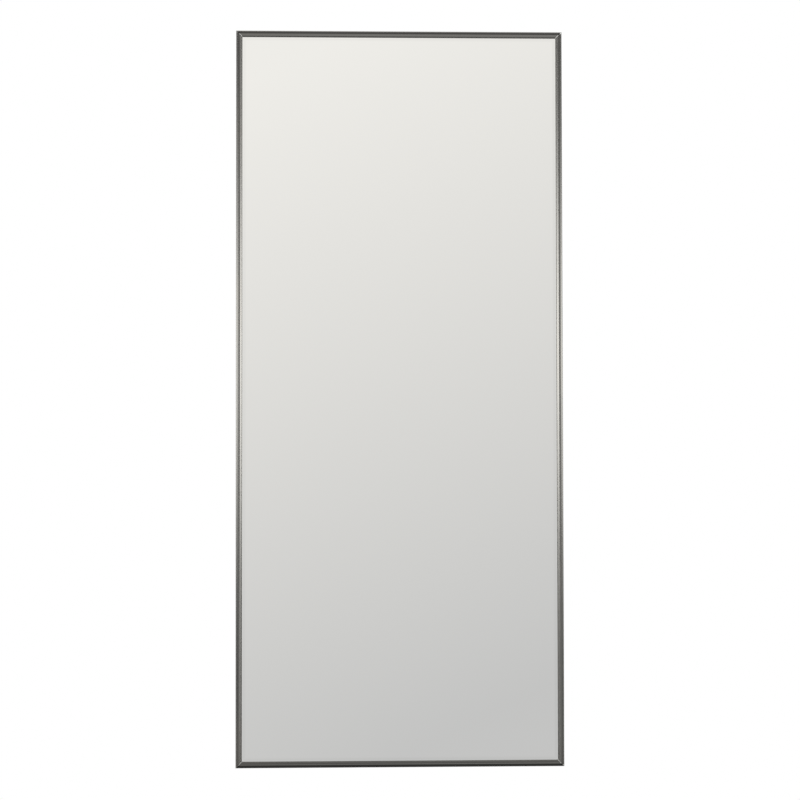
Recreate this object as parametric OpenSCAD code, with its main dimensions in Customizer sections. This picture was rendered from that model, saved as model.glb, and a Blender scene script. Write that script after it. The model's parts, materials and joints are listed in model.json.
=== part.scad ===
// Full-length wall mirror in a half-round metal frame.
// Front faces -Y, +Z is up and the wall is the plane y = 0, with the origin at the middle of the frame.
// Along a rail, u runs inwards from its outer face and w runs forwards from its rear face.

/* [Overall size] */
// Width over the outside of the frame
mirror_w = 800; // [500:10:1000]
// Height over the outside of the frame
mirror_h = 1800; // [1200:10:2000]

/* [Frame section] */
// Width of the frame as seen from the front
frame_face = 15; // [15:0.5:20]
// Height of the half-round front above its two edges
bead_rise = 4; // [2:0.5:6]
// Wall of the extrusion
wall_t = 1.5; // [1.2:0.1:2]
// Clear depth of the channel along the back
channel_depth = 6; // [5:0.5:9]
// Width of the slot that opens the channel
slot_w = 6; // [4:0.5:7]
// How far the foot of the front lip reaches over the glass
lip_foot_w = 5; // [4:0.5:6]
// Radius of the two long edges at the back
rear_edge_r = 0.6; // [0.2:0.1:1]

/* [Glass and backing] */
// Thickness of the mirror glass
glass_t = 4; // [3:0.5:6]
// Bevel on the seamed edges of the glass
glass_seam = 0.5; // [0.2:0.1:1]
// Gap between the edge of the glass and the outer wall
edge_gap = 2.5; // [1.5:0.25:3]
// Thickness of the glazing tape
tape_t = 1; // [0.5:0.25:2]
// Distance that the tape stays back from the edge of the lip
tape_setback = 0.5; // [0.2:0.1:1]
// Thickness of the foam sheet
foam_t = 1.5; // [1:0.25:3]
// Distance that the foam stays back from the edge of the glass
foam_inset = 2; // [0:0.5:5]
// Thickness of the backing board
board_t = 9; // [9:1:15]
// Length of each block under the glass
setting_block_l = 80; // [50:5:120]
// Length of each spacer beside the glass
edge_spacer_l = 40; // [25:5:60]

/* [Corner keys] */
// Reach of a key from the outer corner of the frame
key_leg = 45; // [38:1:60]
// Thickness of a key
key_t = 3; // [2:0.5:3.5]
// Thickness of the bearing plate under the set screws
key_plate_t = 1; // [0.6:0.1:1.4]
// Gap between a key and each side of the channel
key_clear = 0.2; // [0.1:0.05:0.4]
// Diameter of a set screw
set_screw_d = 5; // [3:0.5:5]
// Gap all round a set screw in its hole
set_screw_clear = 0.05; // [0.02:0.01:0.1]
// Width across flats of the set screw's socket
set_screw_socket = 2.5; // [1.5:0.5:2.5]
// Distance from the outer corner to the first screw
key_first_hole = 18; // [16:1:20]
// Distance from the end of a leg to its last screw
key_end_hole = 9; // [6:1:10]

/* [Spring clips] */
// Free space behind the board, which each clip fills
spring_h = 2; // [1.5:0.25:4]
// Thickness of a clip's leaf
spring_t = 0.5; // [0.3:0.1:0.8]
// Length of a clip
spring_l = 60; // [40:5:80]
// Width of a clip
spring_w = 9; // [6:0.5:9]
// Number of clips behind each upright
stile_clips = 5; // [3:1:7]
// Number of clips behind the top and the bottom
rail_clips = 2; // [2:1:4]

/* [Hangers] */
// Distance of each hanger from the side of the frame
hanger_inset = 60; // [50:5:150]
// Distance of each ring's hinge below the top of the frame
hanger_drop = 300; // [150:10:500]
// Diameter of the ring's wire
ring_wire_d = 3.5; // [3:0.25:4]
// Clear width inside a ring
ring_eye_w = 17.5; // [17:0.5:24]
// Clear height inside a ring
ring_eye_h = 16; // [16:0.5:24]
// Radius of the ring's two lower corners, to the middle of the wire
ring_corner_r = 3; // [2.5:0.25:4]
// Angle at which a raised ring leans on the board
ring_lean = 2; // [1:0.25:2.5]
// Thickness of the strap's steel
strap_t = 1; // [0.8:0.1:1.2]
// Length of a strap below the ring's hinge
strap_l = 35; // [34:1:45]
// Gap round the wire in the fold of the strap
strap_clear = 0.08; // [0.04:0.01:0.1]
// Gap between the strap and each lower corner of the ring
strap_side_clear = 0.5; // [0.3:0.1:0.8]
// Slope of the fold where it comes down to the board
strap_slope = 40; // [36:1:50]
// Amount that the strap's upper layer ends short of the lower one
strap_step = 1; // [0.5:0.25:2]
// Distance of the first screw below the hinge
hanger_screw_first = 9.5; // [9.5:0.25:10]
// Distance between the two screws
hanger_screw_pitch = 18.5; // [18:0.5:19]
// Diameter of a screw's shank
hanger_screw_d = 3.5; // [3:0.25:4]
// Diameter of a screw's head
hanger_head_d = 7; // [6:0.25:7.5]
// Height of a screw's head
hanger_head_h = 2.2; // [1.8:0.1:2.6]
// Length of a screw below its head
hanger_screw_l = 9.5; // [7:0.5:9.5]
// Length of a screw's pointed tip
hanger_tip_l = 2.5; // [1.5:0.25:3]
// Diameter of the blunt end of a screw's tip
hanger_tip_d = 0.6; // [0.4:0.1:1]
// Radius of a screw head's dome
hanger_dome_r = 5.5; // [4.5:0.25:8]
// Width of the recess across a screw's head
hanger_recess_w = 0.9; // [0.6:0.1:1.2]
// Length of the recess across a screw's head
hanger_recess_l = 4; // [3:0.25:4.5]
// Depth of the recess in a screw's head
hanger_recess_depth = 1.3; // [0.8:0.1:1.6]
// Gap round a screw in its hole through the strap
strap_hole_clear = 0.35; // [0.2:0.05:0.5]
// Gap round a screw in its pilot hole in the board
pilot_clear = 0.02; // [0.02:0.01:0.1]
// Depth of a pilot hole beyond the screw's tip
pilot_extra = 0.5; // [0.25:0.25:1]

/* [Bumpers] */
// Diameter of a bumper where it sticks to the frame
bumper_d = 13; // [10:0.5:13.5]
// Height of a bumper
bumper_h = 3; // [2:0.5:5]
// Radius of the round rim where a bumper meets the wall
bumper_rim_r = 1; // [0.5:0.1:1.5]
// Distance of each bumper from the top or bottom of the frame
bumper_inset = 60; // [30:5:120]

/* [Hidden] */

// Overlap of cutting shapes past the faces that they cut
past = 1;
// Roundness of small circles, and of the wide arcs of the frame and the clips
$fn = 64;
wide_fn = 720;

// Levels forwards from the rear face of a rail: the stack of pieces sets the depth of the frame
channel_back = wall_t;
web_back = channel_back + channel_depth;
web_front = web_back + wall_t;
board_back = web_front + spring_h;
foam_back = board_back + board_t;
glass_back = foam_back + foam_t;
glass_front = glass_back + glass_t;
lip_back = glass_front + tape_t;
bead_edge = lip_back + wall_t;

// The half-round front passes through both edges of the face and rises by bead_rise between them
bead_r = (pow(frame_face / 2, 2) + pow(bead_rise, 2)) / (2 * bead_rise);
bead_centre = bead_edge + bead_rise - bead_r;

// Distances inwards from the outer face
mid_u = frame_face / 2;
glass_u = wall_t + edge_gap;
foot_u = frame_face - lip_foot_w;
spring_u = (glass_u + frame_face) / 2;
key_u = wall_t + key_clear;
key_w = frame_face - 2 * key_u;

// The arc of a clip stands on both ends and touches the board at its crown
spring_r = (pow(spring_l / 2, 2) + pow(spring_h, 2) - pow(spring_t, 2)) / (2 * (spring_h - spring_t));

// A ring turns on its straight side, which the fold holds just clear of the board
board_y = -(bumper_h + board_back);
fold_bore_r = ring_wire_d / 2 + strap_clear;
fold_r = fold_bore_r + strap_t;
ring_half_w = (ring_eye_w + ring_wire_d) / 2;
ring_reach = ring_eye_h + ring_wire_d;
bar_half = ring_half_w - ring_corner_r;
strap_w = 2 * (bar_half - strap_side_clear);
hanger_x = mirror_w / 2 - hanger_inset;
hanger_z = mirror_h / 2 - hanger_drop;
strap_hole_r = hanger_screw_d / 2 + strap_hole_clear;
pilot_r = hanger_screw_d / 2 + pilot_clear;
pilot_depth = hanger_screw_l - 2 * strap_t + pilot_extra;

frame_colour = [0.2, 0.2, 0.19];
steel_colour = [0.72, 0.73, 0.74];

// Puts a piece drawn along a rail on the side of the frame that turn names: x is along it, y is u and z is w
module on_side(turn, half_span) {
    rotate([0, turn, 0])
        translate([0, -bumper_h, -half_span])
            rotate([90, 0, 0])
                children();
}

module on_bottom() {
    on_side(0, mirror_h / 2) children();
}

module on_top() {
    on_side(180, mirror_h / 2) children();
}

module on_left() {
    on_side(90, mirror_w / 2) children();
}

module on_right() {
    on_side(-90, mirror_w / 2) children();
}

// Puts a piece drawn at the bottom left corner on any corner: right and top are 0 or 1
module at_corner(right, top) {
    mirror([right, 0, 0])
        mirror([0, 0, top])
            translate([-mirror_w / 2, -bumper_h, -mirror_h / 2])
                rotate([90, 0, 0])
                    children();
}

// Puts a piece on the back of the board at a hanger: x across, y out of the board and z up from the hinge
module at_hanger(side) {
    translate([side * hanger_x, board_y, hanger_z]) children();
}

// Draws a flat outline of u and w along a rail
module along_rail(length) {
    rotate([90, 0, 90])
        linear_extrude(height = length, center = true)
            children();
}

module rail_outline() {
    translate([0, rear_edge_r])
        square([frame_face, bead_edge - rear_edge_r]);
    translate([rear_edge_r, 0])
        square([frame_face - 2 * rear_edge_r, 2 * rear_edge_r]);
    for (u = [rear_edge_r, frame_face - rear_edge_r])
        translate([u, rear_edge_r])
            circle(r = rear_edge_r);
    intersection() {
        translate([mid_u, bead_centre])
            circle(r = bead_r, $fn = wide_fn);
        translate([-past, bead_edge])
            square([frame_face + 2 * past, bead_rise + past]);
    }
}

// The hollow behind the half-round front, over the foot that holds the glass
module bead_hollow() {
    difference() {
        intersection() {
            translate([mid_u, bead_centre])
                circle(r = bead_r - wall_t, $fn = wide_fn);
            translate([wall_t, lip_back - past])
                square([frame_face, bead_edge + bead_rise]);
        }
        translate([foot_u, lip_back])
            square([lip_foot_w, wall_t]);
    }
}

module rail_section() {
    difference() {
        rail_outline();
        bead_hollow();
        translate([wall_t, web_front])
            square([frame_face, lip_back - web_front]);
        translate([wall_t, channel_back])
            square([frame_face - 2 * wall_t, channel_depth]);
        translate([mid_u - slot_w / 2, -past])
            square([slot_w, channel_back + 2 * past]);
    }
}

// Keeps what lies between the two mitres of a rail
module between_mitres(length) {
    far = frame_face + past;
    translate([0, 0, -past])
        linear_extrude(height = bead_edge + bead_rise + 2 * past)
            polygon([
                [-length / 2 - past, -past],
                [length / 2 + past, -past],
                [length / 2 - far, far],
                [-length / 2 + far, far]
            ]);
}

module rail(length) {
    color(frame_colour)
        intersection() {
            along_rail(length + 2 * past)
                rail_section();
            between_mitres(length);
        }
}

module top_rail() {
    on_top() rail(mirror_w);
}

module bottom_rail() {
    on_bottom() rail(mirror_w);
}

module left_stile() {
    on_left() rail(mirror_h);
}

module right_stile() {
    on_right() rail(mirror_h);
}

// A sheet centred in the frame, between two levels
module sheet(width, height, back, front) {
    translate([-width / 2, -bumper_h - front, -height / 2])
        cube([width, front - back, height]);
}

// An upright outline with all four corners cut off, for a sheet with seamed edges
module seamed_outline(length) {
    polygon([
        [-length / 2 + glass_seam, glass_back],
        [length / 2 - glass_seam, glass_back],
        [length / 2, glass_back + glass_seam],
        [length / 2, glass_front - glass_seam],
        [length / 2 - glass_seam, glass_front],
        [-length / 2 + glass_seam, glass_front],
        [-length / 2, glass_front - glass_seam],
        [-length / 2, glass_back + glass_seam]
    ]);
}

module mirror_glass() {
    glass_w = mirror_w - 2 * glass_u;
    glass_h = mirror_h - 2 * glass_u;
    color([0.84, 0.84, 0.82])
        translate([0, -bumper_h, 0])
            intersection() {
                linear_extrude(height = glass_h, center = true)
                    mirror([0, 1])
                        seamed_outline(glass_w);
                rotate([0, 90, 0])
                    linear_extrude(height = glass_w, center = true)
                        mirror([0, 1])
                            seamed_outline(glass_h);
            }
}

module foam_sheet() {
    inset = 2 * (glass_u + foam_inset);
    color([0.93, 0.93, 0.91])
        sheet(mirror_w - inset, mirror_h - inset, foam_back, glass_back);
}

module backing_board() {
    color([0.62, 0.47, 0.32])
        difference() {
            sheet(mirror_w - 2 * glass_u, mirror_h - 2 * glass_u, board_back, foam_back);
            for (side = [-1, 1])
                at_hanger(side)
                    hanger_screw_places()
                        translate([0, 0, -pilot_depth])
                            cylinder(r = pilot_r, h = pilot_depth + past);
        }
}

// Tape along a rail, between the glass and the foot of the lip
module glazing_tape(length) {
    color([0.08, 0.08, 0.08])
        translate([-length / 2, foot_u, glass_front])
            cube([length, lip_foot_w - tape_setback, tape_t]);
}

module top_glazing_tape() {
    on_top() glazing_tape(mirror_w - 2 * foot_u);
}

module bottom_glazing_tape() {
    on_bottom() glazing_tape(mirror_w - 2 * foot_u);
}

module left_glazing_tape() {
    on_left() glazing_tape(mirror_h - 2 * (frame_face - tape_setback));
}

module right_glazing_tape() {
    on_right() glazing_tape(mirror_h - 2 * (frame_face - tape_setback));
}

// Two blocks that fill the gap round the edge of the glass and the board
module edge_blocks(length, spread) {
    color([0.15, 0.15, 0.16])
        for (s = [-spread, spread])
            translate([s - length / 2, wall_t, web_front])
                cube([length, edge_gap, glass_front - web_front]);
}

module setting_blocks() {
    on_bottom() edge_blocks(setting_block_l, mirror_w / 4);
}

module top_edge_spacers() {
    on_top() edge_blocks(edge_spacer_l, mirror_w / 4);
}

module left_edge_spacers() {
    on_left() edge_blocks(edge_spacer_l, mirror_h / 3);
}

module right_edge_spacers() {
    on_right() edge_blocks(edge_spacer_l, mirror_h / 3);
}

// A flat angle that lies in the channel round a corner
module flat_angle(thickness) {
    leg = key_leg - key_u;
    translate([key_u, key_u])
        linear_extrude(height = thickness) {
            square([leg, key_w]);
            square([key_w, leg]);
        }
}

// The four places of set screws in a corner, two along each leg
module key_screw_places() {
    for (reach = [key_first_hole, key_leg - key_end_hole]) {
        translate([reach, mid_u]) children();
        translate([mid_u, reach]) children();
    }
}

module corner_key(right, top) {
    color(steel_colour)
        at_corner(right, top)
            translate([0, 0, channel_back])
                difference() {
                    flat_angle(key_t);
                    key_screw_places()
                        translate([0, 0, -past])
                            cylinder(d = set_screw_d + 2 * set_screw_clear, h = key_t + 2 * past);
                }
}

module key_plate(right, top) {
    color(steel_colour)
        at_corner(right, top)
            translate([0, 0, web_back - key_plate_t])
                flat_angle(key_plate_t);
}

// Set screws that push the key back on the lips and the bearing plate forward on the web
module key_screws(right, top) {
    length = channel_depth - key_plate_t;
    color([0.3, 0.3, 0.31])
        at_corner(right, top)
            translate([0, 0, channel_back])
                key_screw_places()
                    difference() {
                        cylinder(d = set_screw_d, h = length);
                        translate([0, 0, -past])
                            cylinder(d = set_screw_socket / cos(30), h = length / 2 + past, $fn = 6);
                    }
}

module corner_key_top_left() {
    corner_key(0, 1);
}

module corner_key_top_right() {
    corner_key(1, 1);
}

module corner_key_bottom_left() {
    corner_key(0, 0);
}

module corner_key_bottom_right() {
    corner_key(1, 0);
}

module key_plate_top_left() {
    key_plate(0, 1);
}

module key_plate_top_right() {
    key_plate(1, 1);
}

module key_plate_bottom_left() {
    key_plate(0, 0);
}

module key_plate_bottom_right() {
    key_plate(1, 0);
}

module key_screws_top_left() {
    key_screws(0, 1);
}

module key_screws_top_right() {
    key_screws(1, 1);
}

module key_screws_bottom_left() {
    key_screws(0, 0);
}

module key_screws_bottom_right() {
    key_screws(1, 0);
}

// A bowed leaf that stands on the web with both ends and presses the board with its crown
module spring_clip() {
    rotate([90, 0, 0])
        linear_extrude(height = spring_w, center = true)
            intersection() {
                translate([0, spring_h - spring_r])
                    difference() {
                        circle(r = spring_r, $fn = wide_fn);
                        circle(r = spring_r - spring_t, $fn = wide_fn);
                    }
                translate([-spring_l / 2, -past])
                    square([spring_l, spring_h + 2 * past]);
            }
}

module spring_row(length, count) {
    pitch = length / count;
    color([0.5, 0.52, 0.55])
        for (i = [0 : count - 1])
            translate([(i + 0.5) * pitch - length / 2, spring_u, web_front])
                spring_clip();
}

module top_spring_clips() {
    on_top() spring_row(mirror_w, rail_clips);
}

module bottom_spring_clips() {
    on_bottom() spring_row(mirror_w, rail_clips);
}

module left_spring_clips() {
    on_left() spring_row(mirror_h, stile_clips);
}

module right_spring_clips() {
    on_right() spring_row(mirror_h, stile_clips);
}

// The two places of wood screws below a hinge, each with z out of the board
module hanger_screw_places() {
    for (drop = [hanger_screw_first, hanger_screw_first + hanger_screw_pitch])
        translate([0, 0, -drop])
            rotate([-90, 0, 0])
                children();
}

// Draws an outline of height above the board and z across the width of a strap
module across_strap() {
    rotate([90, 0, 90])
        linear_extrude(height = strap_w, center = true)
            children();
}

// The strap's outline from the front, with a round lower end
module strap_shape(length) {
    rotate([90, 0, 0])
        linear_extrude(height = 4 * fold_r + 2 * past, center = true) {
            translate([-strap_w / 2, strap_w / 2 - length])
                square([strap_w, length + fold_r]);
            translate([0, strap_w / 2 - length])
                circle(d = strap_w);
        }
}

// The fold round the ring's wire, from the board side over the top to where the slope leaves it
module fold_arc() {
    far = 3 * fold_r;
    translate([fold_r, 0])
        difference() {
            circle(r = fold_r);
            circle(r = fold_bore_r);
            polygon([
                [0, 0],
                [-far, 0],
                [-far, -far],
                [far, -far],
                [far * cos(strap_slope), -far * sin(strap_slope)]
            ]);
        }
}

// The upper layer, which slopes down from the fold and then lies on the lower layer
module upper_layer() {
    slope_out = [cos(strap_slope), -sin(strap_slope)];
    slope_down = [-sin(strap_slope), -cos(strap_slope)];
    outside = [fold_r, 0] + fold_r * slope_out;
    inside = [fold_r, 0] + fold_bore_r * slope_out;
    outside_run = (outside[0] - 2 * strap_t) / sin(strap_slope);
    inside_run = (inside[0] - strap_t) / sin(strap_slope);
    polygon([
        outside,
        outside + outside_run * slope_down,
        [2 * strap_t, -strap_l],
        [strap_t, -strap_l],
        inside + inside_run * slope_down,
        inside
    ]);
}

module hanger_strap(side) {
    color(steel_colour)
        at_hanger(side)
            difference() {
                union() {
                    intersection() {
                        across_strap()
                            translate([0, -strap_l])
                                square([strap_t, strap_l]);
                        strap_shape(strap_l);
                    }
                    intersection() {
                        across_strap() {
                            fold_arc();
                            upper_layer();
                        }
                        strap_shape(strap_l - strap_step);
                    }
                }
                hanger_screw_places()
                    translate([0, 0, -past])
                        cylinder(r = strap_hole_r, h = 2 * strap_t + 2 * past);
            }
}

module left_hanger_strap() {
    hanger_strap(-1);
}

module right_hanger_strap() {
    hanger_strap(1);
}

// One side of a ring, drawn flat: a lower corner and the upright leg over it
module ring_side() {
    translate([bar_half, ring_corner_r])
        rotate([0, 0, -90])
            rotate_extrude(angle = 90)
                translate([ring_corner_r, 0])
                    circle(d = ring_wire_d);
    translate([ring_half_w, ring_corner_r])
        rotate([-90, 0, 0])
            cylinder(d = ring_wire_d, h = ring_reach - ring_half_w - ring_corner_r);
}

// A ring turns about its straight side, and leans on the board when it is raised
module hanger_ring(side) {
    color(steel_colour)
        at_hanger(side)
            translate([0, fold_r, 0])
                rotate([90 + ring_lean, 0, 0]) {
                    rotate([0, 90, 0])
                        cylinder(d = ring_wire_d, h = 2 * bar_half, center = true);
                    ring_side();
                    mirror([1, 0, 0]) ring_side();
                    translate([0, ring_reach - ring_half_w])
                        rotate_extrude(angle = 180)
                            translate([ring_half_w, 0])
                                circle(d = ring_wire_d);
                }
}

module left_hanger_ring() {
    hanger_ring(-1);
}

module right_hanger_ring() {
    hanger_ring(1);
}

// A wood screw with a domed head and a cross recess, z out of the board from the top of the strap
module hanger_screw() {
    difference() {
        intersection() {
            cylinder(d = hanger_head_d, h = hanger_head_h);
            translate([0, 0, hanger_head_h - hanger_dome_r])
                sphere(r = hanger_dome_r);
        }
        for (turn = [0, 90])
            rotate([0, 0, turn])
                translate([-hanger_recess_l / 2, -hanger_recess_w / 2, hanger_head_h - hanger_recess_depth])
                    cube([hanger_recess_l, hanger_recess_w, hanger_recess_depth + past]);
    }
    translate([0, 0, hanger_tip_l - hanger_screw_l])
        cylinder(d = hanger_screw_d, h = hanger_screw_l - hanger_tip_l);
    translate([0, 0, -hanger_screw_l])
        cylinder(d1 = hanger_tip_d, d2 = hanger_screw_d, h = hanger_tip_l);
}

module hanger_screws(side) {
    color([0.8, 0.78, 0.7])
        at_hanger(side)
            hanger_screw_places()
                translate([0, 0, 2 * strap_t])
                    hanger_screw();
}

module left_hanger_screws() {
    hanger_screws(-1);
}

module right_hanger_screws() {
    hanger_screws(1);
}

// Half the outline of a bumper, which stands on the wall at 0
module bumper_outline() {
    wall_face_r = bumper_d / 2 - bumper_rim_r;
    square([wall_face_r, bumper_h]);
    translate([0, bumper_rim_r])
        square([bumper_d / 2, bumper_h - bumper_rim_r]);
    translate([wall_face_r, bumper_rim_r])
        circle(r = bumper_rim_r);
}

// A round pad on the back of an upright, with a round rim at the wall
module bumper(right, top) {
    color([0.1, 0.1, 0.1])
        at_corner(right, top)
            translate([mid_u, bumper_inset, -bumper_h])
                rotate_extrude()
                    bumper_outline();
}

module bumper_top_left() {
    bumper(0, 1);
}

module bumper_top_right() {
    bumper(1, 1);
}

module bumper_bottom_left() {
    bumper(0, 0);
}

module bumper_bottom_right() {
    bumper(1, 0);
}

top_rail();
bottom_rail();
left_stile();
right_stile();
mirror_glass();
foam_sheet();
backing_board();
top_glazing_tape();
bottom_glazing_tape();
left_glazing_tape();
right_glazing_tape();
setting_blocks();
top_edge_spacers();
left_edge_spacers();
right_edge_spacers();
corner_key_top_left();
corner_key_top_right();
corner_key_bottom_left();
corner_key_bottom_right();
key_plate_top_left();
key_plate_top_right();
key_plate_bottom_left();
key_plate_bottom_right();
key_screws_top_left();
key_screws_top_right();
key_screws_bottom_left();
key_screws_bottom_right();
top_spring_clips();
bottom_spring_clips();
left_spring_clips();
right_spring_clips();
left_hanger_strap();
right_hanger_strap();
left_hanger_ring();
right_hanger_ring();
left_hanger_screws();
right_hanger_screws();
bumper_top_left();
bumper_top_right();
bumper_bottom_left();
bumper_bottom_right();
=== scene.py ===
# %% [markdown]
# # A full-length wall mirror
# The real mirror is a tall sheet of silvered glass in a slim metal frame. The frame is one
# extruded section with a half-round front, cut into four rails and mitred at the corners. Behind
# the glass are a board, corner keys, clips, two hangers with swinging rings and four rubber
# bumpers. The solids come ready in the right place, so this lesson gives them their finishes,
# remakes the four rails with a finer curve, and sets up the studio that the mirror is photographed
# in.

# %% Load the mirror
import math

import bpy
from mathutils import Matrix, Vector
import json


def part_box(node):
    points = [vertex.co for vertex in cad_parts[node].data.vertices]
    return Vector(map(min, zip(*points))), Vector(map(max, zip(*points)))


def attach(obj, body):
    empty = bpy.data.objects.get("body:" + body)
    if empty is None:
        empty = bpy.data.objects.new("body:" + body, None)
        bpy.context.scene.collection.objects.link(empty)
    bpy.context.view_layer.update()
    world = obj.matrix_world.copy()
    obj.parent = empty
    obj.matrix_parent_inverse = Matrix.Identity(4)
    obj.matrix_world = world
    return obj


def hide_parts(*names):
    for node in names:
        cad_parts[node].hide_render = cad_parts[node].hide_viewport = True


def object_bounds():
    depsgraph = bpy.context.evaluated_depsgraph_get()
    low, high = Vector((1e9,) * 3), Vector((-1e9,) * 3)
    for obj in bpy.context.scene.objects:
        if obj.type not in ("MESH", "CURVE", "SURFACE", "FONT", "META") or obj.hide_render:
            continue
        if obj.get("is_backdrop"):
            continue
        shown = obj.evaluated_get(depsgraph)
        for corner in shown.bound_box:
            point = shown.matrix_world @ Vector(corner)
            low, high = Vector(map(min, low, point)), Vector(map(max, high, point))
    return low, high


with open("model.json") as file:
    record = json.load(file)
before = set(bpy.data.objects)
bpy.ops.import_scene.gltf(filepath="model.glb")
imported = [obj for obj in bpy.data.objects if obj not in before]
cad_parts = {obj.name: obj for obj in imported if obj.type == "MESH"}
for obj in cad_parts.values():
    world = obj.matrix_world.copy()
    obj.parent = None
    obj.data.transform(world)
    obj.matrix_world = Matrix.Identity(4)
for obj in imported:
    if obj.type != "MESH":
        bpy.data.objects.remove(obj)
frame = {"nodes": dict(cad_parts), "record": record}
solid_low, solid_high = (Vector(corner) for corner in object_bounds())
MM = 0.001
half_w = solid_high.x
half_h = solid_high.z
face = 15 * MM
scene = bpy.context.scene
scene.view_settings.view_transform = "Standard"
print("the mirror is %.0f mm wide and %.0f mm high" % (2 * half_w / MM, 2 * half_h / MM))
print("it comes as", len(frame["nodes"]), "solid nodes")

# %% [markdown]
# ## The camera
# The photograph was taken from about four metres, a little left of and below the middle of the
# glass. A camera could be placed by eye. Here its place, turn and lens were fitted instead, so
# that the four outer corners of the frame land where the photograph has them. The picture is
# square, so the sensor's width is its height too. A new camera looks straight down, and 90 degrees
# bring it level.

# %% Camera
eye = Vector((-0.1093, -4.0, -0.1048))
turn, tilt, roll, level = (math.radians(a) for a in (-1.583, 1.415, -0.085, 90))
camera_data = bpy.data.cameras.new("camera")
camera_data.sensor_width = 36
camera_data.lens = 73.08
camera = bpy.data.objects.new("camera", camera_data)
scene.collection.objects.link(camera)
camera.matrix_world = (
    Matrix.Translation(eye)
    @ Matrix.Rotation(turn, 4, "Z")
    @ Matrix.Rotation(level + tilt, 4, "X")
    @ Matrix.Rotation(roll, 4, "Z")
)
scene.camera = camera
print("camera %.2f m in front of the glass, lens %.1f mm" % (-eye.y, camera_data.lens))

# %% [markdown]
# ## Shader maths as plain arithmetic
# A finish is a tree of nodes, and most of them only add, multiply or compare numbers. They could
# be placed one by one, but a formula is easier to read. `Amount` wraps a number that changes over
# the surface, so that `1 - mask * 0.3` builds its own Math nodes. Most masks are soft steps:
# `rising`, `falling`, and `within` for a band between two steps.

# %% A number that varies
class Amount:
    """A number that varies over a surface. Arithmetic on it adds Math nodes to its recipe."""

    def __init__(self, recipe, socket):
        self.recipe = recipe
        self.socket = socket

    def __add__(self, other):
        return self.recipe.math("ADD", self, other)

    def __radd__(self, other):
        return self.recipe.math("ADD", other, self)

    def __sub__(self, other):
        return self.recipe.math("SUBTRACT", self, other)

    def __rsub__(self, other):
        return self.recipe.math("SUBTRACT", other, self)

    def __mul__(self, other):
        return self.recipe.math("MULTIPLY", self, other)

    def __rmul__(self, other):
        return self.recipe.math("MULTIPLY", other, self)

    def __truediv__(self, other):
        return self.recipe.math("DIVIDE", self, other)

    def __rtruediv__(self, other):
        return self.recipe.math("DIVIDE", other, self)

    def __abs__(self):
        return self.recipe.math("ABSOLUTE", self)

    def below(self, other):
        return self.recipe.math("LESS_THAN", self, other)

    def least(self, other):
        return self.recipe.math("MINIMUM", self, other)

    def most(self, other):
        return self.recipe.math("MAXIMUM", self, other)

    def rising(self, low, high):
        """0 up to low, 1 from high on, and a soft step between them."""
        ends = {"Value": self, "From Min": low, "From Max": high}
        made = self.recipe.node("ShaderNodeMapRange", {"interpolation_type": "SMOOTHSTEP"}, ends)
        return Amount(self.recipe, made.outputs["Result"])

    def falling(self, low, high):
        return 1 - self.rising(low, high)

    def within(self, start, full, fading, end):
        """1 from full to fading, 0 before start and past end."""
        return self.rising(start, full) * self.falling(fading, end)


print("arithmetic ready")

# %% [markdown]
# ## One way to add a node
# `Recipe` holds a tree and makes every node in one way: its type, its settings, then its sockets.
# The other calls are short names for the nodes that come up often. A Mix node has a set of sockets
# for each kind of value, and its colours are sockets 6 and 7 with output 2.

# %% Recipe
def opaque(colour):
    """A plain colour gets its alpha. A socket stays as it is."""
    return (*colour, 1.0) if isinstance(colour, tuple) else colour


class Recipe:
    """A node tree that starts empty, and one way to add to it."""

    def __init__(self, tree):
        self.tree = tree
        tree.nodes.clear()

    def node(self, kind, settings=None, sockets=None):
        made = self.tree.nodes.new(kind)
        for name, value in (settings or {}).items():
            setattr(made, name, value)
        for key, value in (sockets or {}).items():
            if isinstance(value, Amount):
                value = value.socket
            if isinstance(value, bpy.types.NodeSocket):
                self.tree.links.new(value, made.inputs[key])
            else:
                made.inputs[key].default_value = value
        return made

    def amount(self, kind, settings=None, sockets=None):
        return Amount(self, self.node(kind, settings, sockets).outputs[0])

    def math(self, operation, *values):
        return self.amount("ShaderNodeMath", {"operation": operation}, dict(enumerate(values)))

    def places(self, output="Object"):
        """Three amounts: where a point is, along x, y and z."""
        where = self.node("ShaderNodeTexCoord").outputs[output]
        apart = self.node("ShaderNodeSeparateXYZ", None, {0: where})
        return [Amount(self, apart.outputs[i]) for i in range(3)]

    def vector(self, x, y, z):
        return self.node("ShaderNodeCombineXYZ", None, {0: x, 1: y, 2: z}).outputs[0]

    def noise(self, x, y, z, detail=2.0, rough=0.5):
        """Soft noise from 0 to 1. Its grains are one unit of the given numbers across."""
        wanted = {"Vector": self.vector(x, y, z), "Scale": 1.0,
                  "Detail": detail, "Roughness": rough}
        return self.amount("ShaderNodeTexNoise", None, wanted)

    def blend(self, share, first, second):
        """The first colour where share is 0 or less, the second where it is 1 or more."""
        sockets = {0: share, 6: opaque(first), 7: opaque(second)}
        return self.node("ShaderNodeMix", {"data_type": "RGBA"}, sockets).outputs[2]

    def choose(self, share, first, second):
        """The first shader where share is 0, the second where it is 1."""
        return self.node("ShaderNodeMixShader", None, {0: share, 1: first, 2: second}).outputs[0]

    def relief(self, strength, depth, height):
        """Small ups and downs of the surface that change how light falls on it, not its shape."""
        bump = {"Strength": strength, "Distance": depth, "Height": height}
        return self.node("ShaderNodeBump", None, bump).outputs[0]


print("recipes ready")

# %% [markdown]
# ## The wall that the glass shows
# A mirror shows the room, so the room decides how it looks. A whole room could be modelled. A
# world whose colour depends on the direction only is simpler, and it is the same from every
# camera. In the photograph the glass shows a soft wall that is lighter and warmer at the top and
# darker to the right. In a world, Generated coordinates are the direction that a ray goes: x to
# the right, z up.

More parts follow.
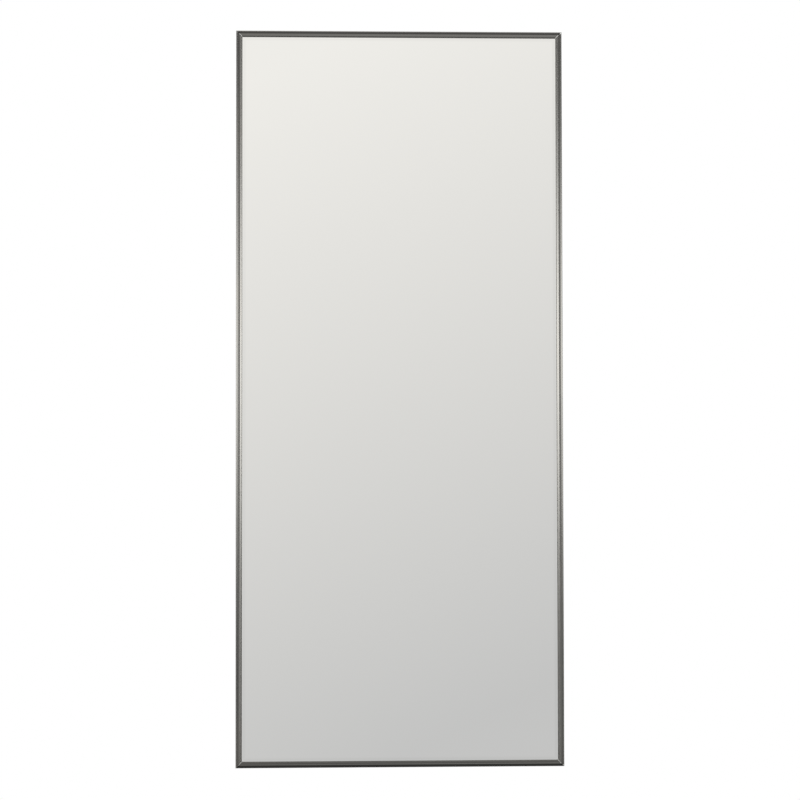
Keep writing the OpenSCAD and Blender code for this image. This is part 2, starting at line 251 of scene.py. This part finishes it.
# %% Wall
studio = bpy.data.worlds.new("studio")
studio.use_nodes = True
scene.world = studio
room = Recipe(studio.node_tree)
way_x, way_y, way_z = room.places("Generated")

wall_low = (0.603, 0.602, 0.600)
wall_high = (0.945, 0.927, 0.892)
darkest, climb_length, soft_foot, slant_limit = -0.200, 0.445, 0.10, 0.3
slant = way_x.least(slant_limit).most(-slant_limit)
climb = (way_z - darkest) / climb_length
climb = room.math("SMOOTH_MAX", climb, 0.0, soft_foot) - slant
wall = room.blend(climb, wall_low, wall_high)
print("wall from", wall_low, "to", wall_high)

# %% [markdown]
# ## The studio that the metal shows
# Dark satin metal is seen by what it reflects. The frame shows a long bright panel on each side at
# eye height, with a darker gap where the camera stands. Around them the room is even: a little
# brighter low in front and at the ceiling, a little darker above the panels and beside the left
# one. Behind the mirror it is dark below and light above, so that the plated parts on the back
# look round. Each of these is a mask over the direction. The bearing is the direction seen from
# above, in radians: 0 is straight out of the glass, and it grows towards the right.

# %% Studio
bearing = room.math("ARCTAN2", way_x, -1.0 * way_y)
aside = abs(bearing)
left_panel = bearing.within(-1.95, -1.50, -0.46, -0.16)
right_panel = bearing.within(0.34, 0.80, 1.50, 1.95)
panels = (left_panel + right_panel) * way_z.within(-0.09, 0.05, 0.065, 0.20)
gap = bearing.within(-0.30, 0.25, 0.5, 0.9) * abs(way_z).falling(0.09, 0.27)
low_front = way_z.falling(-0.40, -0.15) * aside.falling(0.6, 1.3)
ceiling = way_z.rising(0.70, 0.92)
beside = bearing.within(-1.15, -0.75, -0.60, -0.25)
above = way_z.within(0.24, 0.42, 0.55, 0.80)
behind = aside.rising(2.0, 2.6) * (way_z.rising(-0.5, 0.8) * 0.8 + 0.05)

room_light, panel_light = 0.50, 5.0
light = room_light
for mask, strength in ((panels, panel_light), (gap, 0.50), (low_front, 0.27), (ceiling, 0.16),
                       (beside, -0.20), (above, -0.16), (behind, 1.0)):
    light = light + mask * strength
print("the panels are %.0f times as bright as the room" % ((room_light + panel_light) / room_light))

# %% [markdown]
# ## Who sees what
# The camera sees plain white. A perfectly sharp reflection, which only the glass has, sees the
# wall. Every other ray sees the studio, which is a little warm: its blue is slightly lower. Light
# Path tells these rays apart.

# %% World
blue = 0.985
seen = room.node("ShaderNodeLightPath").outputs
inside = room.blend(seen["Is Singular Ray"], room.vector(light, light, light * blue), wall)
shown = room.blend(seen["Is Camera Ray"], inside, (1.0, 1.0, 1.0))
background = room.node("ShaderNodeBackground", None, {"Color": shown, "Strength": 1.0})
room.node("ShaderNodeOutputWorld", None, {"Surface": background.outputs[0]})
print("the studio has", len(studio.node_tree.nodes), "nodes")

# %% [markdown]
# ## Floor
# The mirror hangs, so the floor lies a little below it. It is pale, keeps the mirror's shadow
# close by and fades to the white background further off. In the metal it carries a painted
# shadow: it is darker near the mirror, which gives the bottom rail its dark outer edge, and it ends
# softly, so that the metal shows no floor edge. The glass doesn't show it. The fades are ovals,
# about 1.3 times as wide as they are deep, which is the root of 1.7. The floor isn't sampled as a
# lamp, so it adds no noise.

# %% Floor
floor_drop = 0.25
reach = 3.0
floor_z = -half_h - floor_drop
corners = ((-reach, -reach), (reach, -reach), (reach, reach), (-reach, reach))
floor_data = bpy.data.meshes.new("floor")
floor_data.from_pydata([(x, y, floor_z) for x, y in corners], [], [(0, 1, 2, 3)])
floor = bpy.data.objects.new("floor", floor_data)
scene.collection.objects.link(floor)
print("floor %.0f mm below the frame" % (floor_drop / MM))

# %% Floor finish
floor_finish = bpy.data.materials.new("floor")
floor_finish.use_nodes = True
floor_finish.cycles.emission_sampling = "NONE"
ground = Recipe(floor_finish.node_tree)
across, deep, _ = ground.places()
oval = 1.7
away = ground.math("SQRT", across * across / oval + deep * deep)
path = ground.node("ShaderNodeLightPath").outputs

pale = ground.node("ShaderNodeBsdfDiffuse", None, {"Color": (0.86, 0.86, 0.85, 1)}).outputs[0]
clear = ground.node("ShaderNodeBsdfTransparent").outputs[0]
white = ground.node("ShaderNodeEmission", None, {"Color": (1, 1, 1, 1), "Strength": 1.0}).outputs[0]
# painted shadow: the floor that the metal sees is darker near the mirror
painted_shadow_floor = ground.blend(away.rising(0.3, 1.8), (0.245, 0.245, 0.245), (0.74, 0.74, 0.73))
painted_shadow_floor = ground.node("ShaderNodeEmission", None, {"Color": painted_shadow_floor, "Strength": 1.0}).outputs[0]

fade_out = away.rising(1.5, 2.8)
for_camera = ground.choose(away.rising(0.25, 0.65), pale, white)
for_metal = ground.choose(fade_out, painted_shadow_floor, clear)
for_gloss = ground.choose(path["Is Singular Ray"], for_metal, clear)
for_others = ground.choose(fade_out, pale, clear)
not_gloss = ground.choose(path["Is Camera Ray"], for_others, for_camera)
all_rays = ground.choose(path["Is Glossy Ray"], not_gloss, for_gloss)
ground.node("ShaderNodeOutputMaterial", None, {"Surface": all_rays})
floor_data.materials.append(floor_finish)
floor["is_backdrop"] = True
print("floor finish:", len(floor_finish.node_tree.nodes), "nodes")

# %% [markdown]
# ## Lamps
# The world lights the front. Two soft lamps stand behind the mirror, where the glass can't show
# them, and light the board, the straps and the top. They light matt surfaces only: in gloss they
# would show as two white squares.

# %% Lamps
lamp_side = 2.4


def soft_lamp(name, place, aim, power):
    lamp_data = bpy.data.lights.new(name, "AREA")
    lamp_data.shape = "SQUARE"
    lamp_data.size = lamp_side
    lamp_data.energy = power
    lamp = bpy.data.objects.new(name, lamp_data)
    scene.collection.objects.link(lamp)
    lamp.visible_glossy = False
    lamp.location = place
    lamp.rotation_euler = (Vector(aim) - Vector(place)).to_track_quat("-Z", "Y").to_euler()


soft_lamp("lamp_behind_left", (-2.3, 2.1, 1.9), aim=(0, 0, 0.1), power=42)
soft_lamp("lamp_behind_right", (1.5, 2.7, 1.5), aim=(0, 0, -0.1), power=24)
print("two lamps behind the mirror")

# %% [markdown]
# ## Frame metal: where a point is on its rail
# The rails are extruded aluminium, brushed along their length and anodised a dark warm grey. The
# brushing follows each rail and turns at the mitre. Four materials could do that, but one does it
# from two distances: how far a point is inwards from the outer face, and how far it is from the
# mitre. Both follow from the distances to the sides and ends. The narrow bands are given in
# millimetres.

# %% Place on the rail
finishes = {}


def new_finish(name):
    made = bpy.data.materials.new(name)
    made.use_nodes = True
    finishes[name] = made
    return made, Recipe(made.node_tree)


def close(recipe, sockets):
    """Ends a recipe in one surface shader with the given sockets."""
    surface = recipe.node("ShaderNodeBsdfPrincipled", None, sockets)
    recipe.node("ShaderNodeOutputMaterial", None, {"Surface": surface.outputs[0]})


frame_metal, brew = new_finish("frame_metal")
x, y, z = brew.places()
from_side = half_w - abs(x)
from_end = half_h - abs(z)
on_stile = from_side.below(from_end)
on_right = 1 - x.below(0.0)
on_top = 1 - z.below(0.0)
inwards = from_side.least(from_end)
along = x + (z - x) * on_stile
inwards_mm = inwards / MM
mitre_mm = abs(from_side - from_end) * (math.sqrt(0.5) / MM)
print("place on the rail:", len(frame_metal.node_tree.nodes), "nodes so far")

# %% [markdown]
# ## Frame metal: brushing, wear and painted light
# The brushing is noise that is drawn out along the rail. A lighter line along the inner side of
# the crown is a painted highlight, and the darker outer shoulder is painted shade: together they
# stand in for the reflections on the half-round. Sawing the mitre cut through the dark skin, so
# bare metal shows as a thin pale line, on the inner half only and fainter at the bottom. Next to
# it the ends of the rails are darkened with painted shade by the joint. The tips of the uprights
# are knocked bare, most of all at the top right. The top rail is a little lighter than the
# uprights and the bottom rail a little darker, which is painted light and shade.

# %% Wear on the frame
lines = brew.noise(inwards * 2600, y * 2600, along * 5, 2.0, 0.6)
drift = brew.noise(x * 4, y * 30, z * 4, 3.0, 0.55)
speck = brew.noise(x * 900, y * 900, z * 900, 1.0, 0.5).rising(0.66, 0.76)
ragged = brew.noise(x * 1500, y * 1500, z * 1500, 2.0, 0.6)
ragged_mm = (ragged - 0.5) * 0.4

# painted highlight: a lighter line along the inner side of the crown
rubbing_and_painted_highlight = inwards_mm.within(8.2, 10.2, 11.8, 14.0)
# painted shade: a darker band on the outer shoulder
painted_shoulder_shade = inwards_mm.within(2.2, 4.4, 5.6, 7.8)
# painted light and shade: the top rail lighter, the bottom rail darker
painted_rail_light = (1 - on_stile) * (on_top - 0.5) * 0.28

cut_mm, cut_soft = inwards_mm.rising(6.5, 8.5) * 0.60, 0.12
cut = (mitre_mm + ragged_mm).falling(cut_mm - cut_soft, cut_mm + cut_soft) * (0.60 + on_top * 0.40)
tip = (mitre_mm + ragged_mm * 2).falling(1.0, 1.9)
tip = tip * (inwards_mm + ragged_mm).within(0.9, 1.5, 3.2, 4.2)
knock = tip * (0.25 + on_right * 0.30 + on_right * on_top * 0.45) * on_stile
bare = cut.most(knock)
# painted shade on the rail ends next to the mitre joint
painted_joint_shade = mitre_mm.falling(1.0, 4.4) * inwards_mm.within(2.0, 3.4, 6.0, 8.0) * (1 - on_stile * 0.6)
print("wear:", len(frame_metal.node_tree.nodes), "nodes so far")

# %% [markdown]
# ## Frame metal: colour and surface
# The anodised skin runs between two greys, and warm clouds, the painted shade on the shoulder,
# the painted shade by the joints and the bare metal lie over it. The painted highlight on the
# crown and the painted light and shade of the top and bottom rails move the skin between its
# greys. Bare metal is also rougher. Each noise adds its part around its middle value, 0.5, so
# that the base values stay what they say.

# %% Frame metal finish
grey_low, grey_high = (0.113, 0.111, 0.105), (0.230, 0.225, 0.214)
# The two darkest greys are painted shade, one on the shoulder and one by the mitre joints.
warm_grey, painted_shoulder_grey = (0.190, 0.172, 0.150), (0.04, 0.04, 0.038)
painted_joint_grey, bare_metal = (0.03, 0.03, 0.029), (0.70, 0.70, 0.68)

# The shade takes in a painted highlight on the crown, painted shade on the shoulder and painted
# light and shade per rail.
shade = 0.5 + (lines - 0.5) * 0.45 + (drift - 0.5) * 0.20 + rubbing_and_painted_highlight * 0.32 - painted_shoulder_shade * 0.38 + painted_rail_light
colour = brew.blend(shade, grey_low, grey_high)
for share, tint in ((drift.rising(0.50, 0.75) * 0.25, warm_grey), (painted_shoulder_shade * 0.25, painted_shoulder_grey),
                    (painted_joint_shade * 0.75, painted_joint_grey), (bare, bare_metal)):
    colour = brew.blend(share, colour, tint)
rough = 0.20 + (lines - 0.5) * 0.05 + (drift - 0.5) * 0.03 + speck * 0.03 + bare * 0.25
relief = brew.relief(0.35, 0.01 * MM, (lines + ragged * bare) * 0.6)
close(brew, {"Base Color": colour, "Metallic": 1.0, "Roughness": rough, "Normal": relief})
print("frame metal:", len(frame_metal.node_tree.nodes), "nodes")

# %% [markdown]
# ## Mirror glass
# Silvered float glass reflects about nine tenths of the light, a little more green than red or
# blue. It could be a glass shader over silver, but one perfectly sharp metal surface gives the
# same picture without double images. Next to the frame there is a faint pale line and then a
# slightly darker band, as the photograph shows: a painted reflection of the frame's inner edge in
# the glass. A very faint mist keeps it from being even.

# %% Mirror glass finish
_, brew = new_finish("mirror_glass")
x, y, z = brew.places()
from_frame_mm = (half_w - face - abs(x)).least(half_h - face - abs(z)) / MM
# painted reflection of the frame's inner edge: a pale line, then a darker band
painted_lip_glint = from_frame_mm.falling(0.2, 1.8)
painted_lip_reflection = from_frame_mm.within(1.0, 2.6, 4.5, 11)
mist = brew.noise(x * 5, y * 5, z * 5, 2.0, 0.5)
silver = brew.blend(painted_lip_reflection, (0.908, 0.912, 0.905), (0.864, 0.869, 0.862))
silver = brew.blend(painted_lip_glint, silver, (0.938, 0.942, 0.93))
silver = brew.blend((mist - 0.5) * 0.05, silver, (0.80, 0.82, 0.81))
close(brew, {"Base Color": silver, "Metallic": 1.0, "Roughness": 0.0})
glass_low, glass_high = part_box("mirror_glass")
glass_w, _, glass_h = (glass_high - glass_low) / MM
print("mirror glass %.0f x %.0f mm" % (glass_w, glass_h))

# %% [markdown]
# ## Fibreboard
# The backing board is pressed wood fibre: fine fibres and dark flecks, faint sanding marks and
# broad clouds where the mat was denser. Each has its own noise at its real scale, so that the
# board holds up in a close view too. The numbers beside x, y and z are grains per metre.

# %% Fibreboard
fibreboard, brew = new_finish("fibreboard")
x, y, z = brew.places()
clouds = brew.noise(x * 7, y * 7, z * 4, 3.0, 0.6)
fibres = brew.noise(x * 420, y * 420, z * 150, 2.0, 0.65)
flecks = brew.noise(x * 1500, y * 1500, z * 700, 1.0, 0.5)
sanding = brew.noise(x * 160, y * 160, z * 3, 2.0, 0.5)
tone = 0.5 + (clouds - 0.5) * 0.7 + (fibres - 0.5) * 0.8 + (sanding - 0.5) * 0.35
colour = brew.blend(tone, (0.330, 0.222, 0.128), (0.480, 0.345, 0.212))
colour = brew.blend(flecks.rising(0.62, 0.76) * 0.5, colour, (0.22, 0.138, 0.074))
rough = 0.80 + (fibres - 0.5) * 0.2
relief = brew.relief(0.5, 0.08 * MM, fibres * 0.7 + flecks * 0.3)
close(brew, {"Base Color": colour, "Roughness": rough, "Normal": relief})
print("fibreboard:", len(fibreboard.node_tree.nodes), "nodes")

# %% [markdown]
# ## Foam, tape, blocks and rubber
# These are matt and even, and differ in colour, grain and relief. One function makes all four.

# %% Foam, tape, blocks and rubber
def soft_finish(name, dark, light, grain, cell, rough):
    """A matt moulded or foamed material: two tones, a grain of the given size and its relief."""
    _, brew = new_finish(name)
    x, y, z = brew.places()
    fine = brew.noise(x / grain, y / grain, z / grain, 2.0, 0.6)
    bloom = brew.noise(x * 40, y * 40, z * 40, 3.0, 0.6)
    colour = brew.blend(0.5 + (fine - 0.5) * 0.8 + (bloom - 0.5) * 0.9, dark, light)
    rough = rough + (fine - 0.5) * 0.16
    close(brew, {"Base Color": colour, "Roughness": rough, "Normal": brew.relief(0.6, cell, fine)})


soft_finish("foam", (0.78, 0.78, 0.76), (0.90, 0.90, 0.88),
            grain=0.7 * MM, cell=0.10 * MM, rough=0.85)
soft_finish("glazing_tape", (0.018, 0.018, 0.018), (0.045, 0.045, 0.045),
            grain=0.4 * MM, cell=0.05 * MM, rough=0.86)
soft_finish("block_plastic", (0.035, 0.035, 0.04), (0.065, 0.065, 0.07),
            grain=0.5 * MM, cell=0.02 * MM, rough=0.45)
soft_finish("bumper_rubber", (0.022, 0.022, 0.022), (0.055, 0.054, 0.052),
            grain=0.35 * MM, cell=0.03 * MM, rough=0.74)
print("four soft finishes")

# %% [markdown]
# ## Plated and bare steel
# Zinc plate, black oxide, tempered strip and yellow zinc all have a tint that wanders, rubbed
# spots and fine handling marks. One function makes them from two tints and the colour of a rubbed
# spot.

# %% Plated and bare steel
def steel_finish(name, first, second, worn, rough, patch):
    """Plated steel: a tint that wanders between two colours in patches of the given size."""
    _, brew = new_finish(name)
    x, y, z = brew.places()
    tint = brew.noise(x / patch, y / patch, z / patch, 3.0, 0.6)
    marks = brew.noise(x * 300, y * 2200, z * 900, 2.0, 0.6)
    rubbing_and_painted_highlight = brew.noise(x * 260, y * 260, z * 260, 2.0, 0.6).rising(0.60, 0.72)
    colour = brew.blend(tint.rising(0.35, 0.65), first, second)
    colour = brew.blend(rubbing_and_painted_highlight * 0.6, colour, worn)
    rough = rough + (marks - 0.5) * 0.14 + (tint - 0.5) * 0.10 - rubbing_and_painted_highlight * 0.05
    relief = brew.relief(0.3, 0.012 * MM, marks)
    close(brew, {"Base Color": colour, "Metallic": 1.0, "Roughness": rough, "Normal": relief})


steel_finish("zinc_steel", (0.50, 0.52, 0.55), (0.64, 0.635, 0.61),
             worn=(0.70, 0.70, 0.69), rough=0.30, patch=7 * MM)
steel_finish("dark_steel", (0.05, 0.05, 0.055), (0.085, 0.08, 0.075),
             worn=(0.20, 0.20, 0.20), rough=0.36, patch=3 * MM)
steel_finish("spring_steel", (0.30, 0.31, 0.35), (0.42, 0.40, 0.37),
             worn=(0.50, 0.50, 0.50), rough=0.28, patch=9 * MM)
steel_finish("yellow_zinc", (0.72, 0.56, 0.26), (0.66, 0.60, 0.42),
             worn=(0.74, 0.70, 0.60), rough=0.27, patch=2.5 * MM)
print("four steel finishes")

# %% [markdown]
# ## The rails
# An extrusion is one outline pushed along a line, which is what Curve to Mesh does. The outline
# below is the frame's section, from the outer face inwards and from the rear face forwards.
# Geometry Nodes sweep it, then pull each end in by the distance from the outer face, which cuts
# the mitre at 45 degrees. The solids already have this shape with few flats, and this gives the
# half-round front enough of them to reflect smoothly.

# %% Sizes of the section
wall_t = 1.5 * MM
web_back, web_front, lip_back, bead_edge = (v * MM for v in (7.5, 9.0, 26.5, 28.0))
lip = 5 * MM
foot = face - lip
rear_r = 0.6 * MM
bead_rise = 4 * MM
bead_middle = face / 2
slot = 6 * MM
slot_from, slot_to = bead_middle - slot / 2, bead_middle + slot / 2
bead_r = (bead_middle ** 2 + bead_rise ** 2) / (2 * bead_rise)
bead_centre = bead_edge + bead_rise - bead_r
hollow_r = bead_r - wall_t
hollow_low = math.sqrt(hollow_r ** 2 - (bead_edge - bead_centre) ** 2)
hollow_side = math.sqrt(hollow_r ** 2 - (bead_middle - wall_t) ** 2)
hollow_start = (bead_middle + hollow_low, bead_edge)
hollow_end = (wall_t, bead_centre + hollow_side)
bead_flats, hollow_flats, corner_flats = 56, 20, 6
print("the half-round has a radius of %.2f mm" % (bead_r / MM))

# %% Section outline
def arc(middle_u, middle_w, radius, start, end, steps):
    """Points on a circle, from one angle to another, both in degrees."""
    angles = [math.radians(start + (end - start) * i / steps) for i in range(steps + 1)]
    return [(middle_u + radius * math.cos(a), middle_w + radius * math.sin(a)) for a in angles]


def bead_arc(radius, first, last, steps):
    """An arc about the middle of the half-round, from one of its points to another."""
    start, end = (math.degrees(math.atan2(w - bead_centre, u - bead_middle))
                  for u, w in (first, last))
    return arc(bead_middle, bead_centre, radius, start, end, steps)


outline = bead_arc(bead_r, (0, bead_edge), (face, bead_edge), bead_flats)
outline += [(face, lip_back), (foot, lip_back), (foot, bead_edge)]
outline += bead_arc(hollow_r, hollow_start, hollow_end, hollow_flats)
outline += [(wall_t, web_front), (face, web_front)]
outline += arc(face - rear_r, rear_r, rear_r, 0, -90, corner_flats)
outline += [(slot_to, 0), (slot_to, wall_t), (face - wall_t, wall_t), (face - wall_t, web_back)]
outline += [(wall_t, web_back), (wall_t, wall_t), (slot_from, wall_t), (slot_from, 0)]
outline += arc(rear_r, rear_r, rear_r, -90, -180, corner_flats)
print("the section has", len(outline), "corners")

# %% [markdown]
# ## The tree that makes a rail
# The outline comes in as a ring of points. Each point carries how far it is inwards and forwards,
# as two numbers that the sweep keeps, and from these the tree works out where the point belongs.
# The rail is built lying along the bottom, and quarter turns take it to its own side. Faces are
# smooth, and edges that bend by more than 0.35 radians, which is 20 degrees, stay crisp.

# %% Rail tree
rail_inputs = (("Outline", "Geometry"), ("Length", "Float"), ("Outer face", "Float"),
               ("Wall gap", "Float"), ("Turn", "Float"), ("Finish", "Material"))
crisp_bend = 0.35


def rail_tree():
    """Sweeps an outline along x, mitres both ends and turns the rail to its own side."""
    tree = bpy.data.node_groups.new("mitred_rail", "GeometryNodeTree")
    build = Recipe(tree)
    ports = {}
    for name, kind in rail_inputs:
        port = tree.interface.new_socket(name, in_out="INPUT", socket_type="NodeSocket" + kind)
        ports[name] = port.identifier
    tree.interface.new_socket("Rail", in_out="OUTPUT", socket_type="NodeSocketGeometry")
    given = build.node("NodeGroupInput").outputs
    sizes = ("Length", "Outer face", "Wall gap")
    length, outer, gap = (Amount(build, given[name]) for name in sizes)

    half = length / 2
    ends = {"Start": build.vector(-1.0 * half, 0.0, 0.0), "End": build.vector(half, 0.0, 0.0)}
    line = build.node("GeometryNodeCurvePrimitiveLine", None, ends).outputs[0]
    section = build.node("GeometryNodeMeshToCurve", None, {"Mesh": given["Outline"]}).outputs[0]
    sweep = {"Curve": line, "Profile Curve": section, "Fill Caps": True}
    rail = build.node("GeometryNodeCurveToMesh", None, sweep).outputs[0]

    number = {"data_type": "FLOAT"}
    inwards = build.amount("GeometryNodeInputNamedAttribute", number, {"Name": "inwards"})
    forwards = build.amount("GeometryNodeInputNamedAttribute", number, {"Name": "forwards"})
    where = build.node("GeometryNodeInputPosition").outputs[0]
    end = build.amount("ShaderNodeSeparateXYZ", None, {0: where})
    place = build.vector(end * (1 - inwards / half), -1.0 * (gap + forwards), inwards - outer)
    moved = {"Geometry": rail, "Position": place}
    rail = build.node("GeometryNodeSetPosition", None, moved).outputs[0]
    rail = build.node("GeometryNodeFlipFaces", None, {"Mesh": rail}).outputs[0]
    for name in ("inwards", "forwards"):
        spent = {"Geometry": rail, "Name": name}
        rail = build.node("GeometryNodeRemoveAttribute", None, spent).outputs[0]

    smooth = {"Geometry": rail, "Shade Smooth": True}
    rail = build.node("GeometryNodeSetShadeSmooth", {"domain": "FACE"}, smooth).outputs[0]
    keen = build.math("GREATER_THAN", build.amount("GeometryNodeInputMeshEdgeAngle"), crisp_bend)
    crisp = {"Geometry": rail, "Selection": keen, "Shade Smooth": False}
    rail = build.node("GeometryNodeSetShadeSmooth", {"domain": "EDGE"}, crisp).outputs[0]

    turned = {"Geometry": rail, "Rotation": build.vector(0.0, given["Turn"], 0.0)}
    rail = build.node("GeometryNodeTransform", None, turned).outputs[0]
    rail = build.node("GeometryNodeRealizeInstances", None, {"Geometry": rail}).outputs[0]
    finished = {"Geometry": rail, "Material": given["Finish"]}
    rail = build.node("GeometryNodeSetMaterial", None, finished).outputs[0]
    build.node("NodeGroupOutput", None, {0: rail})
    return tree, ports


rail_nodes, rail_ports = rail_tree()
print("rail tree:", len(rail_nodes.nodes), "nodes")

# %% [markdown]
# ## Making and measuring a rail
# The modifier's inputs are set by their identifiers, and its result becomes a plain mesh. Two
# measures show that the rail is right: its volume, which is negative if the faces point inwards,
# and how far it is from the box of the solid that it replaces.

# %% Make a rail
gap_to_wall = 3 * MM


def outline_mesh():
    data = bpy.data.meshes.new("section")
    points = [(u, w, 0) for u, w in outline]
    ring = [(i, (i + 1) % len(points)) for i in range(len(points))]
    data.from_pydata(points, ring, [])
    for name, column in (("inwards", 0), ("forwards", 1)):
        kept = data.attributes.new(name, "FLOAT", "POINT")
        kept.data.foreach_set("value", [point[column] for point in outline])
    return data


def make_rail(name, length, outer, quarter_turns):
    rail = bpy.data.objects.new(name, outline_mesh())
    scene.collection.objects.link(rail)
    sweep = rail.modifiers.new("rail", "NODES")
    sweep.node_group = rail_nodes
    wanted = {"Length": length, "Outer face": outer, "Wall gap": gap_to_wall,
              "Turn": math.radians(90 * quarter_turns), "Finish": frame_metal}
    for port, value in wanted.items():
        sweep[rail_ports[port]] = value
    shown = rail.evaluated_get(bpy.context.evaluated_depsgraph_get())
    made = bpy.data.meshes.new_from_object(shown)
    rail.modifiers.clear()
    rail.data = made
    return rail


print("the rails stand %.0f mm off the wall" % (gap_to_wall / MM))

# %% Measure a rail
def enclosed(data):
    """The volume in a closed mesh, in cubic metres: negative if its faces point inwards."""
    data.calc_loop_triangles()
    total = 0.0
    for tri in data.loop_triangles:
        a, b, c = (data.vertices[i].co for i in tri.vertices)
        total += a.dot(b.cross(c)) / 6
    return total


def off_box(data, node):
    """The largest distance between a mesh's box and a node's box, in metres."""
    low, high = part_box(node)
    spans = [(min(values), max(values)) for values in zip(*(v.co for v in data.vertices))]
    return max(max(abs(span[0] - low[i]), abs(span[1] - high[i])) for i, span in enumerate(spans))


print("each rail is measured in two ways")

# %% Four rails
sides = (("bottom_rail", half_w, half_h), ("left_stile", half_h, half_w),
         ("top_rail", half_w, half_h), ("right_stile", half_h, half_w))
for quarter_turns, (node, half_length, outer) in enumerate(sides):
    rail = make_rail(node + "_extrusion", 2 * half_length, outer, quarter_turns)
    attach(rail, "mirror_frame")
    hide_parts(node)
    faces = len(rail.data.polygons)
    held, off = 1e6 * enclosed(rail.data), off_box(rail.data, node) / MM
    print("%s: %d faces, %.1f cm3, %.3f mm from its solid's box" % (node, faces, held, off))

# %% [markdown]
# ## Finishes on the solids
# Every other solid has the right shape already. The record says which finish each one takes, so
# one loop hands them out.

# %% Hand out the finishes
for part in frame["record"]["subparts"]:
    piece = frame["nodes"][part["node"]]
    piece.data.materials.clear()
    piece.data.materials.append(finishes[part["material_slot"]])
